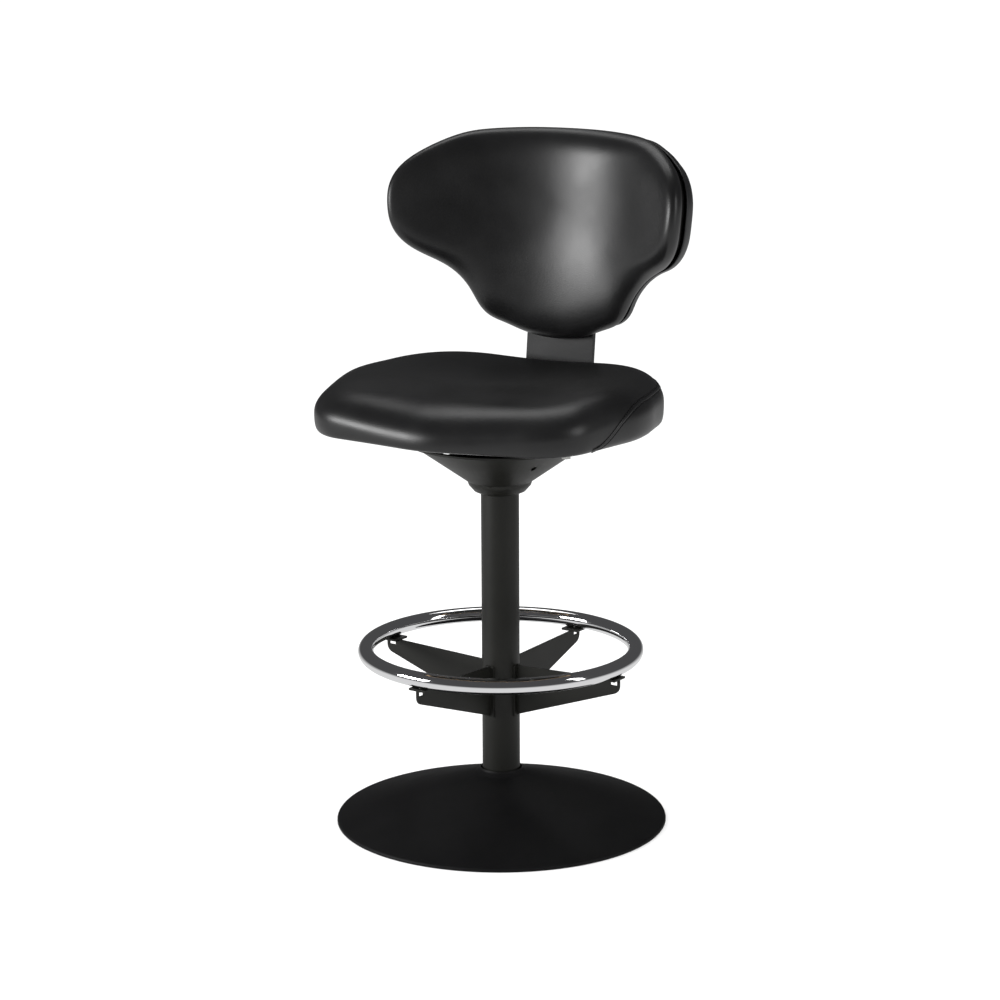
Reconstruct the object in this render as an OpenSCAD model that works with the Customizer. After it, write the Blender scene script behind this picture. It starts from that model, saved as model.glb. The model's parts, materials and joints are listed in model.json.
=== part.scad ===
// Height-adjustable drafting chair on a weighted disc base.
// Millimetres, Z up, origin on the floor on the column's axis, the sitter faces -Y.
// The column stands fixed; seat, back and gas spring turn on it and rise out of it.

/* [Base] */
// Diameter of the disc base
base_d = 446; // [400:2:520]
// Height of the base cover where it meets the column
base_h = 72.5; // [60:0.5:90]
// Slope of the cover's cone, degrees below level
cover_slope = 17.9; // [14:0.1:20]
// Wall of the spun cover
cover_wall = 1.5; // [1:0.1:2.5]
// Thickness of the rubber floor pad
pad_t = 3; // [2:0.5:5]
// Thickness of the ballast under the hub flange
ballast_t = 12; // [10:1:14]
// Diameter of the column's hub flange
flange_d = 110; // [96:1:130]
// Thickness of the hub flange
flange_t = 8; // [6:1:10]
// Circle of the hub bolts
hub_pcd = 84; // [78:1:90]

/* [Column] */
// Outer diameter of the stand tube
tube_d = 50.8; // [45:0.1:60]
// Wall of the stand tube
tube_wall = 2; // [1.5:0.1:3]
// Height of the stand tube's top above the floor
column_h = 455; // [400:1:560]
// Length of the plastic guide inside the tube's top
guide_l = 60; // [40:1:80]

/* [Gas spring] */
// Outer diameter of the pressure cylinder
gas_d = 28; // [26:0.5:30]
// Wall of the pressure cylinder
gas_wall = 1.8; // [1.5:0.1:2.5]
// Diameter of the piston rod
rod_d = 10; // [8:0.5:12]
// Rise of the seat from its lowest to its highest place
stroke = 200; // [100:5:220]

/* [Footring] */
// Diameter of the footring on its tube's centreline
ring_d = 362; // [300:1:400]
// Diameter of the footring's tube
ring_tube_d = 21; // [18:0.5:28]
// Wall of the footring's tube
ring_wall = 1.6; // [1.2:0.1:2.5]
// Height of the footring's centreline
ring_z = 237; // [200:1:300]
// Thickness of the four arm plates
arm_t = 3; // [2:0.5:5]
// Height of an arm where it meets the column
arm_root_h = 68; // [50:1:90]
// Height of an arm below its tab
arm_tip_h = 20; // [14:1:30]
// Angle of the first arm from the +X axis
arm_turn = -7.2; // [-45:0.1:45]

/* [Seat carrier] */
// Diameter of the carrier funnel at its top
funnel_d = 236; // [220:1:250]
// Height of the carrier funnel
funnel_h = 72; // [68:1:80]
// Sheet thickness of the funnel
funnel_wall = 2.5; // [2:0.1:3.5]
// Width of the mounting plate
plate_w = 264; // [260:1:280]
// Thickness of the mounting plate
plate_t = 3; // [2.5:0.5:5]
// Height of the spacers between plate and seat board
spacer_h = 21; // [19:1:30]

/* [Seat] */
// Width of the seat
seat_w = 444; // [400:1:500]
// Reach of the seat in front of the column's axis
seat_reach = 220; // [190:1:250]
// Thickness of the seat cushion
seat_t = 66; // [45:1:80]
// Thickness of the plywood seat board
board_t = 12; // [9:0.5:15]

/* [Back] */
// Width of the backrest across its wings
back_w = 438; // [400:1:500]
// Height of the backrest
back_h = 268; // [250:1:320]
// Width of the backrest's lower lobe
lobe_w = 230; // [190:1:250]
// Radius that the backrest is bent to
back_r = 299; // [280:1:360]
// Lean of the backrest, degrees
back_lean = 7.2; // [3:0.1:10]
// Distance of the backrest behind the column's axis
back_y = 184; // [170:0.1:200]
// Height of the gap between seat cushion and backrest
back_gap = 35; // [25:1:60]
// Thickness of the back cushion
back_t = 42; // [30:1:55]
// Thickness of the moulded back board
back_board_t = 9; // [6:0.5:12]
// Thickness of the rear shell
shell_t = 3.5; // [2.5:0.1:5]
// Width of the flat bar that carries the back
bar_w = 100; // [80:1:110]
// Thickness of the flat bar
bar_t = 8; // [6:0.5:10]

/* [Hidden] */
$fn = 96;

// Clearances
fit = 0.05;          // running fits and bolts in their holes
gap = 0.3;           // soft pieces beside hard ones
slip = 0.5;          // loose covers round a tube

// Levels of the base
ballast_top = pad_t + ballast_t;
hub_top = ballast_top + flange_t;
tube_r = tube_d / 2;
tube_ri = tube_r - tube_wall;
foot_t = 5;
bolt_r = 4;          // M8 bolts
bolt_head_r = 6.5;
bolt_head_h = 5.3;
small_r = 3;         // M6 bolts and M5 screws
bolt_sink = 0.7;     // hub bolt heads lie this far above the floor pad
hub_well_r = 15;
neck_drop = 4.4;     // from the neck's top down to the cone carried on to the tube

// Levels of the gas spring
race_t = 2;
ball_r = 2;
race_z = hub_top + foot_t;
ball_z = race_z + race_t + ball_r + fit;
upper_z = ball_z + ball_r + fit;
collar_z = upper_z + race_t;
collar_h = 4;
bump_z = collar_z + collar_h + slip;
bump_h = 20;
gas_z = bump_z + bump_h + gap;
gas_r = gas_d / 2;
gas_ri = gas_r - gas_wall;
rod_r = rod_d / 2;
guide_h = 20;
taper_z = column_h + 6;
taper_h = 28;
taper_r = gas_r - 0.7;
gas_top = taper_z + taper_h;
chamber_top = column_h - 15;
piston_h = 20;
piston_z = chamber_top - 35 - piston_h;
rod_guide_z = gas_z + 2;
stop_z = rod_guide_z + guide_h + stroke + slip;
stop_r = rod_r + 3;
ball_count = 10;
ball_ring_r = 9.5;
pin_r = 4;
pin_top = gas_top + 10.4;

// Tabs of the footring's arms
tab_t = 3;
tab_top = ring_z - ring_tube_d / 2 - 0.2;
tab_z = tab_top - tab_t;
ring_screw_r = small_r - 0.5;

// Levels of the seat carrier and the seat
funnel_z = column_h - 3;
funnel_foot = tube_r + 1.2;
flange_z = funnel_z + funnel_h;
plate_z = flange_z;
leg_z = plate_z + plate_t;
board_z = leg_z + spacer_h;
cushion_top = board_z + seat_t;
back_z = cushion_top + back_gap;
lever_w = 10;
lever_t = 6;
lever_rise = 9;
lever_z = pin_top + lever_t / 2 + 0.6;
pivot_x = -32;
pivot_r = 2.5;
socket_r = gas_r + 6;
yoke_in = gas_r;     // inner faces of the yoke's plates
yoke_t = 3;
hatch_w = 18;
plate_front = -60;
plate_back = 100;
seat_bolt_x = plate_w / 2 - 10;
seat_bolt_y = [plate_front + 12, plate_back - 15];
bar_bolt_x = 32;
bar_bolt_y = [45, 85];
spacer_r = 9;
nut_flange_r = 9;
nut_barrel_r = 5;

// Seat plan: it ends in front of the bar's upright
corner_r = 82;
side_r = 159;
rear_r = 127;
crown_r = 150;
bar_front = back_r - sqrt(pow(back_r, 2) - pow(bar_w / 2, 2)) + 0.1;
upright_y = back_y - bar_front / cos(back_lean) - (back_z - board_z) * tan(back_lean);
seat_rear = upright_y - 10;
board_inset = 16;
seat_layer_t = 0.5;
// The cushion's side: share of its thickness, and how far it is drawn in there
seat_side = [[0, 2], [0.1, 0.5], [0.56, 0], [0.72, 4], [0.85, 11], [0.95, 23]];

// Back: local frame at the bottom middle of the board's rear face, V up along the lean
shell_r = back_r - 14;
shell_gap = 14;
bar_top = 150;
back_bolt_v = [55, 115];
back_bolt_x = 30;
bend_r = 24;
screw_x = 78;
boss_z = sqrt(pow(back_r, 2) - pow(screw_x - 5, 2)) - back_r + gap;
head_z = shell_gap - shell_r + sqrt(pow(shell_r + shell_t, 2) - pow(screw_x + 4, 2));
edge_r = 38;
wing_r = 60;
tip_r = 70;
brow_r = 80;
waist_r = 100;
crown = 8;

// Points along an arc, from angle a0 to a1
function arc(c, r, a0, a1, n = 8) =
    [for (i = [0:n]) let (a = a0 + (a1 - a0) * i / n) c + r * [cos(a), sin(a)]];

// Direction in which two circles share a tangent on their outer side
function tangent_angle(c1, r1, c2, r2) =
    let (d = c2 - c1) atan2(d[1], d[0]) - acos((r1 - r2) / norm(d));

// Middle of a circle of radius r that touches two circles from outside, on their right
function touching(c1, r1, c2, r2, r) =
    let (d = c2 - c1, l = norm(d), e = d / l, n = [e[1], -e[0]],
        p = r + r1, q = r + r2, a = (p * p - q * q + l * l) / (2 * l))
    c1 + a * e + sqrt(p * p - a * a) * n;

function angle_to(from, to) = atan2(to[1] - from[1], to[0] - from[0]);

// Right half of the back's outline, seen from the front, drawn in by inset
function back_half(inset) =
    let (edge_c = [lobe_w / 2 - edge_r, edge_r],
        wing_c = [back_w / 2 - 2 - wing_r, back_h * 0.526],
        tip_c = [back_w / 2 - tip_r, back_h * 0.628],
        brow_c = [back_w / 2 - 27 - brow_r, back_h - crown - brow_r],
        top_r = brow_r + (pow(brow_c[0], 2) + pow(crown, 2)) / (2 * crown),
        top_c = [0, back_h - top_r],
        waist_c = touching(edge_c, edge_r, wing_c, wing_r, waist_r),
        low_a = angle_to(edge_c, waist_c),
        high_a = angle_to(waist_c, wing_c),
        side_a = tangent_angle(wing_c, wing_r, tip_c, tip_r),
        brow_a = tangent_angle(tip_c, tip_r, brow_c, brow_r),
        top_a = angle_to(top_c, brow_c))
    concat(
        arc(edge_c, edge_r - inset, -90, low_a),
        arc(waist_c, waist_r + inset, low_a + 180, high_a),
        arc(wing_c, wing_r - inset, high_a - 180, side_a),
        arc(tip_c, tip_r - inset, side_a, brow_a),
        arc(brow_c, brow_r - inset, brow_a, top_a, 5),
        arc(top_c, top_r - inset, top_a, 90, 4));

function mirrored(points) =
    [for (i = [len(points) - 2:-1:0]) [-points[i][0], points[i][1]]];

module back_outline(inset) {
    half = back_half(inset);
    polygon(concat(half, mirrored(half)));
}

// Places a child in the back's own frame: x across, y rearwards, z up the lean
module in_back() {
    translate([0, back_y, back_z]) rotate([-back_lean, 0, 0]) children();
}

// The outline pushed through from front to rear
module back_prism(inset) {
    rotate([90, 0, 0]) translate([0, 0, -60]) linear_extrude(height = 260) back_outline(inset);
}

// An upright round wall of the bend: everything nearer the sitter than radius r
module bend(r, shift = 0) {
    translate([0, shift - r, -20]) cylinder(r = r, h = back_h + 60, $fn = 180);
}

module seat_plan(inset) {
    hull() {
        for (side = [-1, 1]) {
            translate([side * (seat_w / 2 - 20 - corner_r), 23 + corner_r - seat_reach])
                circle(corner_r - inset, $fn = 48);
            translate([side * (seat_w / 2 - side_r), -20]) circle(side_r - inset, $fn = 64);
            translate([side * (seat_w / 2 - 10 - rear_r), seat_rear - rear_r])
                circle(rear_r - inset, $fn = 64);
        }
        translate([0, crown_r - seat_reach]) circle(crown_r - inset, $fn = 64);
    }
}

module seat_layer(level, inset) {
    translate([0, 0, board_z + level]) linear_extrude(height = seat_layer_t) seat_plan(inset);
}

module bolt(length, r = bolt_r, head_r = bolt_head_r, head_h = bolt_head_h) {
    translate([0, 0, -head_h]) cylinder(r = head_r, h = head_h, $fn = 6);
    cylinder(r = r, h = length);
}

module at_hub_bolts() {
    for (i = [0:3]) rotate(45 + 90 * i) translate([hub_pcd / 2, 0]) children();
}

module at_seat_bolts() {
    for (x = [-1, 1], y = seat_bolt_y) translate([x * seat_bolt_x, y, 0]) children();
}

module at_bar_bolts() {
    for (x = [-1, 1], y = bar_bolt_y) translate([x * bar_bolt_x, y, 0]) children();
}

// Places children at the back's bolts, their z axis pointing forwards
module at_back_bolts() {
    in_back() for (x = [-1, 1], v = back_bolt_v)
        translate([x * back_bolt_x, 0, v]) rotate([90, 0, 0]) children();
}

module floor_pad() {
    color("#202020") difference() {
        cylinder(r = base_d / 2 - 13, h = pad_t);
        at_hub_bolts() translate([0, 0, -1]) cylinder(r = 8, h = pad_t + 2);
    }
}

// Height of the cover's outer cone at radius r
function cone_z(r) = base_h - neck_drop - (r - tube_r) * tan(cover_slope);

module base_ballast() {
    clear = cover_wall + 2.5;
    rim = base_d / 2 - 18;
    well = flange_d / 2 + 4;
    color("#303032") difference() {
        rotate_extrude(angle = 360) polygon([[0, pad_t], [rim, pad_t], [rim, cone_z(rim) - clear],
            [rim - 46, cone_z(rim - 46) - clear], [well, cone_z(rim - 46) - clear],
            [well, ballast_top], [0, ballast_top]]);
        translate([0, 0, pad_t + 3]) cylinder(r = hub_well_r, h = ballast_t);
        at_hub_bolts() {
            translate([0, 0, pad_t - 1]) cylinder(r = 7.5, h = 1 + bolt_head_h + bolt_sink);
            cylinder(r = bolt_r + 0.4, h = ballast_top + 1);
        }
    }
}

// The spun cover: a cone with a rolled rim and a flared neck round the tube
module cover_profile(inset) {
    rim_r = 4;
    neck_r = 14;
    cover_lift = 0.4;
    out = base_d / 2;
    rim_c = [out - rim_r, cone_z(out - rim_r) - rim_r / cos(cover_slope) ];
    neck_x = tube_r + 1.6 + neck_r;
    neck_c = [neck_x, cone_z(neck_x) + neck_r / cos(cover_slope)];
    steep = 90 - cover_slope;
    top_a = 180 + asin((neck_c[1] - base_h) / neck_r);
    polygon(concat(
        [[0, cover_lift], [out - inset, cover_lift]],
        arc(rim_c, rim_r - inset * 0.8, 0, steep, 5),
        arc(neck_c, neck_r + inset, 180 + steep, top_a, 6),
        [[0, base_h]]));
}

module base_cover() {
    color("#161616") difference() {
        rotate_extrude(angle = 360, $fn = 180) cover_profile(0);
        translate([0, 0, -0.1]) rotate_extrude(angle = 360, $fn = 180) cover_profile(cover_wall);
        translate([0, 0, -1]) cylinder(r = tube_r + slip, h = base_h + 2);
    }
}

module hub_flange() {
    color("#1c1c1c") translate([0, 0, ballast_top]) difference() {
        cylinder(d = flange_d, h = flange_t);
        translate([0, 0, -1]) cylinder(r = hub_well_r, h = flange_t + 2);
        translate([0, 0, -ballast_top]) at_hub_bolts() cylinder(r = bolt_r + fit, h = hub_top + 1);
    }
}

module hub_bolts() {
    color("#8c8c8c") translate([0, 0, pad_t + bolt_head_h + bolt_sink]) at_hub_bolts()
        bolt(ballast_t - bolt_head_h - bolt_sink + flange_t);
}

module stand_tube() {
    color("#20211b") translate([0, 0, hub_top]) difference() {
        cylinder(r = tube_r, h = column_h - hub_top);
        translate([0, 0, -1]) cylinder(r = tube_ri, h = column_h);
    }
}

module tube_foot() {
    color("#3a3a3a") translate([0, 0, hub_top]) difference() {
        cylinder(r = tube_ri, h = foot_t);
        translate([0, 0, -1]) cylinder(r = rod_r + 0.5, h = foot_t + 2);
    }
}

module guide_bush() {
    lip = 3;
    color("#101010") translate([0, 0, column_h - guide_l]) difference() {
        union() {
            cylinder(r = tube_ri, h = guide_l);
            translate([0, 0, guide_l]) cylinder(r = tube_r, h = lip);
        }
        translate([0, 0, -1]) cylinder(r = gas_r + fit, h = guide_l + lip + 2);
    }
}

module race(z) {
    color("#a8a8a8") translate([0, 0, z]) difference() {
        cylinder(r = 13, h = race_t);
        translate([0, 0, -1]) cylinder(r = rod_r + fit, h = race_t + 2);
    }
}

module lower_race() {
    race(race_z);
}

module upper_race() {
    race(upper_z);
}

module bearing_balls() {
    color("#c8c8c8") for (i = [1:ball_count]) rotate(i * 360 / ball_count)
        translate([ball_ring_r, 0, ball_z]) sphere(r = ball_r, $fn = 24);
}

module bump_stop() {
    color("#181818") translate([0, 0, bump_z]) difference() {
        cylinder(r = tube_ri, h = bump_h);
        translate([0, 0, -1]) cylinder(r = rod_r + 1, h = bump_h + 2);
    }
}

module piston_rod() {
    color("#d0d0d0") difference() {
        union() {
            translate([0, 0, hub_top - 5]) cylinder(r = rod_r, h = piston_z + piston_h - hub_top + 5);
            translate([0, 0, collar_z]) cylinder(r = rod_r + 4, h = collar_h);
        }
        translate([0, 0, hub_top - 2.4]) difference() {
            cylinder(r = rod_r + 1, h = 1.6);
            translate([0, 0, -1]) cylinder(r = rod_r - 1, h = 4);
        }
    }
}

module rod_clip() {
    color("#909090") translate([0, 0, hub_top - 2.3]) difference() {
        cylinder(r = rod_r + 4, h = 1.4);
        translate([0, 0, -1]) cylinder(r = rod_r - 1 + fit, h = 4);
        translate([0, -2, -1]) cube([rod_r + 6, 4, 4]);
    }
}

// The piston, with the sleeve under it that meets the rod guide at full stroke
module piston() {
    color("#7c7c7c") difference() {
        union() {
            translate([0, 0, piston_z]) cylinder(r = gas_ri - fit, h = piston_h);
            translate([0, 0, stop_z]) cylinder(r = stop_r, h = piston_z - stop_z + 1);
        }
        translate([0, 0, stop_z - 1]) cylinder(r = rod_r, h = piston_z + piston_h - stop_z + 2);
    }
}

module gas_cylinder() {
    color("#1a1a1a") difference() {
        union() {
            translate([0, 0, gas_z]) cylinder(r = gas_r, h = taper_z - gas_z);
            translate([0, 0, taper_z]) cylinder(r1 = gas_r, r2 = taper_r, h = taper_h);
        }
        translate([0, 0, gas_z - 1]) cylinder(r = gas_ri, h = chamber_top - gas_z + 1);
        translate([0, 0, gas_top - 24]) cylinder(r = pin_r + fit, h = 30);
    }
}

module rod_guide() {
    color("#505050") translate([0, 0, rod_guide_z]) difference() {
        cylinder(r = gas_ri, h = guide_h);
        translate([0, 0, -1]) cylinder(r = rod_r + fit, h = guide_h + 2);
    }
}

module release_pin() {
    color("#b0b0b0") translate([0, 0, gas_top - 18]) cylinder(r = pin_r, h = pin_top - gas_top + 18);
}

module footring() {
    color("#d8d8d8") difference() {
        translate([0, 0, ring_z]) rotate_extrude(angle = 360, $fn = 180)
            translate([ring_d / 2, 0]) circle(d = ring_tube_d);
        translate([0, 0, ring_z]) rotate_extrude(angle = 360, $fn = 180)
            translate([ring_d / 2, 0]) circle(d = ring_tube_d - 2 * ring_wall);
        at_arms() translate([ring_d / 2, 0, ring_z - ring_tube_d])
            cylinder(r = ring_screw_r + fit, h = ring_tube_d);
    }
}

module at_arms() {
    for (i = [0:3]) rotate(arm_turn + 90 * i) children();
}

// One arm: an upright plate with a tab on top of its tip and a foot against the tube
module ring_arm(i) {
    tab_w = 26;
    tab_l = 24;
    tip = ring_d / 2 + 9;
    root_top = tab_top - 9;
    toe = 12;
    strip_w = 14;
    color("#1e1f1a") rotate(arm_turn + 90 * i) difference() {
        union() {
            translate([0, arm_t / 2, 0]) rotate([90, 0, 0]) linear_extrude(height = arm_t)
                polygon(concat([[0, root_top], [0, root_top - arm_root_h],
                    [tube_r, root_top - arm_root_h]],
                    arc([tip - toe, tab_z - arm_tip_h + toe], toe, -72, 0, 6),
                    [[tip, tab_z], [tip - tab_l, tab_z]]));
            translate([tip - tab_l, -tab_w / 2, tab_z]) cube([tab_l, tab_w, tab_t]);
            translate([0, -strip_w / 2, root_top - arm_root_h])
                cube([tube_r + 2, strip_w, arm_root_h]);
        }
        translate([0, 0, 100 - ring_z]) cylinder(r = tube_r, h = 2 * ring_z);
        translate([ring_d / 2, 0, tab_z - 8]) cylinder(r = ring_screw_r + gap, h = tab_t + 20);
        translate([ring_d / 2, 0, tab_z - 8]) cylinder(r = 5.5, h = 8);
    }
}

module ring_arm_1() {
    ring_arm(0);
}

module ring_arm_2() {
    ring_arm(1);
}

module ring_arm_3() {
    ring_arm(2);
}

module ring_arm_4() {
    ring_arm(3);
}

module ring_screws() {
    head_h = 2.6;
    color("#c0c0c0") at_arms() translate([ring_d / 2, 0, tab_z]) {
        cylinder(r = ring_screw_r, h = tab_t + 5);
        translate([0, 0, -head_h]) cylinder(r1 = 3, r2 = 4.5, h = head_h);
    }
}

// Pressed funnel under the seat: a short foot round the tube and a wide cone
module carrier_funnel() {
    waist = [funnel_foot + 16.9, 17];
    rim = [funnel_d / 2, funnel_h - funnel_wall];
    color("#22231d") difference() {
        translate([0, 0, funnel_z]) rotate_extrude(angle = 360) polygon([
            [funnel_foot, 0], [funnel_foot + 7.9, 3.5], [funnel_foot + 14.9, 11.5], waist, rim,
            rim + [6, 0], rim + [6, funnel_wall], rim + [-1.5, funnel_wall], waist + [-2.6, 1.6],
            [funnel_foot + 12.4, 13], [funnel_foot + 6.4, 6.5], [funnel_foot, 3]]);
        translate([-funnel_d / 2 - 4, -hatch_w / 2, lever_z - 8])
            cube([funnel_d / 2, hatch_w, 22]);
        rotate(-32) translate([60, 0, flange_z - 24]) rotate([0, 90, 0]) cylinder(r = 3.5, h = 60);
    }
}

module taper_socket() {
    color("#33332e") difference() {
        union() {
            translate([0, 0, taper_z]) cylinder(r = socket_r, h = taper_h - 1);
            translate([0, 0, taper_z + 2]) cylinder(r = funnel_foot + 8.8, h = 3);
        }
        translate([0, 0, taper_z]) cylinder(r1 = gas_r, r2 = taper_r, h = taper_h);
        translate([0, 0, taper_z - 1]) cylinder(r = gas_r, h = 1.001);
    }
}

// A round bar along the lever's pivot, longer than the yoke by over at each end
module across_yoke(r, over) {
    half = yoke_in + yoke_t + over;
    translate([pivot_x, half, lever_z]) rotate([90, 0, 0]) cylinder(r = r, h = 2 * half);
}

module lever_yoke() {
    yoke_l = 60;
    color("#33332e") difference() {
        for (side = [-1, 1])
            translate([pivot_x - 12, side * (yoke_in + yoke_t / 2) - yoke_t / 2, gas_top - 1])
                cube([yoke_l, yoke_t, plate_z - gas_top + 1]);
        across_yoke(pivot_r, 6);
    }
}

module lever_pivot() {
    color("#b0b0b0") across_yoke(pivot_r, 2);
}

module mount_plate() {
    color("#22231d") difference() {
        translate([-plate_w / 2, plate_front, plate_z])
            cube([plate_w, plate_back - plate_front, plate_t]);
        at_seat_bolts() cylinder(r = bolt_r + 0.3, h = 2 * plate_z);
        at_bar_bolts() cylinder(r = bolt_r + 0.3, h = 2 * plate_z);
    }
}

module bar_bolts() {
    color("#8c8c8c") at_bar_bolts() translate([0, 0, plate_z]) bolt(plate_t + bar_t + 8);
}

module bar_nuts() {
    color("#8c8c8c") at_bar_bolts() translate([0, 0, leg_z + bar_t]) difference() {
        cylinder(r = 7.2, h = 6.5, $fn = 6);
        translate([0, 0, -1]) cylinder(r = bolt_r, h = 9);
    }
}

module seat_spacers() {
    color("#4a4a48") at_seat_bolts() translate([0, 0, leg_z]) difference() {
        cylinder(r = spacer_r, h = spacer_h);
        translate([0, 0, -1]) cylinder(r = bolt_r + 0.3, h = spacer_h + 2);
    }
}

module seat_bolts() {
    color("#8c8c8c") at_seat_bolts() translate([0, 0, plate_z])
        bolt(plate_t + spacer_h + board_t - 3);
}

module seat_nuts() {
    color("#9a9a9a") at_seat_bolts() translate([0, 0, board_z + board_t]) difference() {
        union() {
            translate([0, 0, -1.5]) cylinder(r = nut_flange_r, h = 1.5);
            translate([0, 0, 1 - board_t]) cylinder(r = nut_barrel_r, h = board_t - 1);
        }
        translate([0, 0, -2 * board_t]) cylinder(r = bolt_r, h = 3 * board_t);
    }
}

module seat_board() {
    color("#b08d5c") difference() {
        translate([0, 0, board_z]) linear_extrude(height = board_t) seat_plan(board_inset);
        at_seat_bolts() {
            translate([0, 0, board_z - 1]) cylinder(r = nut_barrel_r, h = board_t + 2);
            translate([0, 0, board_z + board_t - 1.5]) cylinder(r = nut_flange_r, h = 3);
        }
    }
}

module seat_underlay() {
    color("#121212") translate([0, 0, board_z - 1]) difference() {
        linear_extrude(height = 1) seat_plan(board_inset + 10);
        at_seat_bolts() translate([0, 0, -1]) cylinder(r = spacer_r + slip, h = 3);
    }
}

// Plain solid of the upholstered seat, with a pocket for its board
module seat_cushion() {
    color("#1b1b1d") difference() {
        hull() {
            for (s = seat_side) seat_layer(seat_t * s[0], s[1]);
            seat_layer(seat_t - seat_layer_t, 42);
        }
        translate([0, 0, board_z - 1]) linear_extrude(height = board_t + 1 + gap)
            seat_plan(board_inset - gap);
    }
}

// Flat bar: a leg under the seat, a bend, and an upright that leans with the back
module back_bar() {
    mid = bar_front - bar_t / 2;
    leg_mid = leg_z + bar_t / 2;
    leg_front = -50;
    turn = 90 - back_lean;
    low_v = (leg_mid - back_z - mid * sin(back_lean)) / cos(back_lean);
    corner = [back_y - mid * cos(back_lean) + low_v * sin(back_lean), leg_mid];
    bend_c = corner + [-bend_r * tan(turn / 2), bend_r];
    tip = corner + (bar_top - low_v) * [sin(back_lean), cos(back_lean)];
    half = bar_t / 2 * [cos(back_lean), -sin(back_lean)];
    color("#26272a") difference() {
        translate([-bar_w / 2, 0, 0]) rotate([90, 0, 90]) linear_extrude(height = bar_w)
            polygon(concat(
                [[leg_front, leg_z]],
                arc(bend_c, bend_r + bar_t / 2, -90, turn - 90, 12),
                [tip + half, tip - half],
                arc(bend_c, bend_r - bar_t / 2, turn - 90, -90, 12),
                [[leg_front, leg_z + bar_t]]));
        at_bar_bolts() cylinder(r = bolt_r + 0.3, h = 2 * leg_z);
        at_back_bolts() translate([0, 0, -20]) cylinder(r = small_r + 0.3, h = 40);
    }
}

module back_bolts() {
    color("#707070") at_back_bolts() translate([0, 0, bar_front - bar_t]) {
        translate([0, 0, -4]) cylinder(r1 = 4.5, r2 = 5.5, h = 4);
        cylinder(r = small_r, h = bar_t + back_board_t - bar_front - 1);
    }
}

module back_nuts() {
    color("#9a9a9a") at_back_bolts() difference() {
        union() {
            translate([0, 0, back_board_t - 2]) cylinder(r = nut_flange_r, h = 1.5);
            translate([0, 0, bar_front + gap]) cylinder(r = nut_barrel_r, h = back_board_t - bar_front - 2);
        }
        cylinder(r = small_r, h = back_board_t + 2);
    }
}

module back_board() {
    color("#b08d5c") difference() {
        in_back() difference() {
            intersection() {
                back_prism(9);
                bend(back_r);
            }
            bend(back_r - back_board_t, -back_board_t);
            translate([-bar_w / 2 - 1, -bar_front, -1]) cube([bar_w + 2, 20, bar_top + 4]);
        }
        at_back_bolts() {
            cylinder(r = nut_barrel_r, h = 30);
            translate([0, 0, back_board_t - 2]) cylinder(r = nut_flange_r, h = 20);
        }
        at_shell_screws() translate([0, 0, boss_z - 6.5]) cylinder(r = 2 + fit, h = 40);
    }
}

// Plain solid of the upholstered back, in front of its board
module back_cushion() {
    color("#1b1b1d") in_back() difference() {
        intersection() {
            back_prism(0);
            bend(back_r - back_board_t - gap, -back_board_t - gap);
        }
        bend(back_r - back_t, -back_t);
    }
}

// Places children at the shell's screws, z pointing rearwards
module at_shell_screws() {
    in_back() for (x = [-1, 1], v = [back_h * 0.36, back_h - 60])
        translate([x * screw_x, 0, v]) rotate([-90, 0, 0]) children();
}

// Rear shell: a shallow tray that hides the bar's end, with a boss for each screw
module back_shell() {
    color("#121314") difference() {
        union() {
            in_back() difference() {
                intersection() {
                    back_prism(1);
                    bend(shell_r + shell_t, shell_gap + shell_t);
                }
                bend(back_r + gap, gap);
                intersection() {
                    back_prism(1 + shell_t);
                    bend(shell_r, shell_gap);
                }
                translate([-bar_w / 2 - 1, -20, -10])
                    cube([bar_w + 2, 20 + bar_t - bar_front + 1, 20]);
            }
            at_shell_screws() translate([0, 0, boss_z]) cylinder(r = 5, h = head_z - boss_z);
        }
        at_shell_screws() {
            translate([0, 0, boss_z - 1]) cylinder(r = 2 + fit, h = 40);
            translate([0, 0, head_z - 2]) cylinder(r1 = 2, r2 = 6, h = 4);
        }
    }
}

module shell_screws() {
    color("#303030") at_shell_screws() {
        translate([0, 0, boss_z - 6]) cylinder(r = 2, h = head_z - boss_z + 4.1);
        translate([0, 0, head_z - 2]) cylinder(r1 = 2, r2 = 4, h = 2);
    }
}

// Lift lever: a flat bar over the release pin, cranked up to its grip under the seat's edge
module lift_lever() {
    nose = 8;
    knee = -94;
    heel = -138;
    tail = heel - 58;
    color("#303032") difference() {
        union() {
            translate([0, lever_w / 2, lever_z]) rotate([90, 0, 0]) linear_extrude(height = lever_w)
                polygon([[nose, -lever_t / 2], [nose, lever_t / 2], [knee + 0.6, lever_t / 2],
                    [heel + 0.6, lever_rise + lever_t / 2], [tail, lever_rise + lever_t / 2],
                    [tail, lever_rise - lever_t / 2], [heel - 0.6, lever_rise - lever_t / 2],
                    [knee - 0.6, -lever_t / 2]]);
            across_yoke(6.5, -yoke_t - 2);
        }
        across_yoke(pivot_r + fit, 6);
    }
}

module lever_grip() {
    front = -144;
    length = 58;
    half_w = 9;
    round_r = 5.4;
    color("#141414") translate([front - length, 0, lever_z + lever_rise]) difference() {
        rotate([90, 0, 90]) linear_extrude(height = length) hull() {
            for (side = [-1, 1]) translate([side * half_w, 0]) circle(r = round_r, $fn = 32);
        }
        translate([6, -lever_w / 2, -lever_t / 2]) cube([length, lever_w, lever_t]);
    }
}

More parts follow.
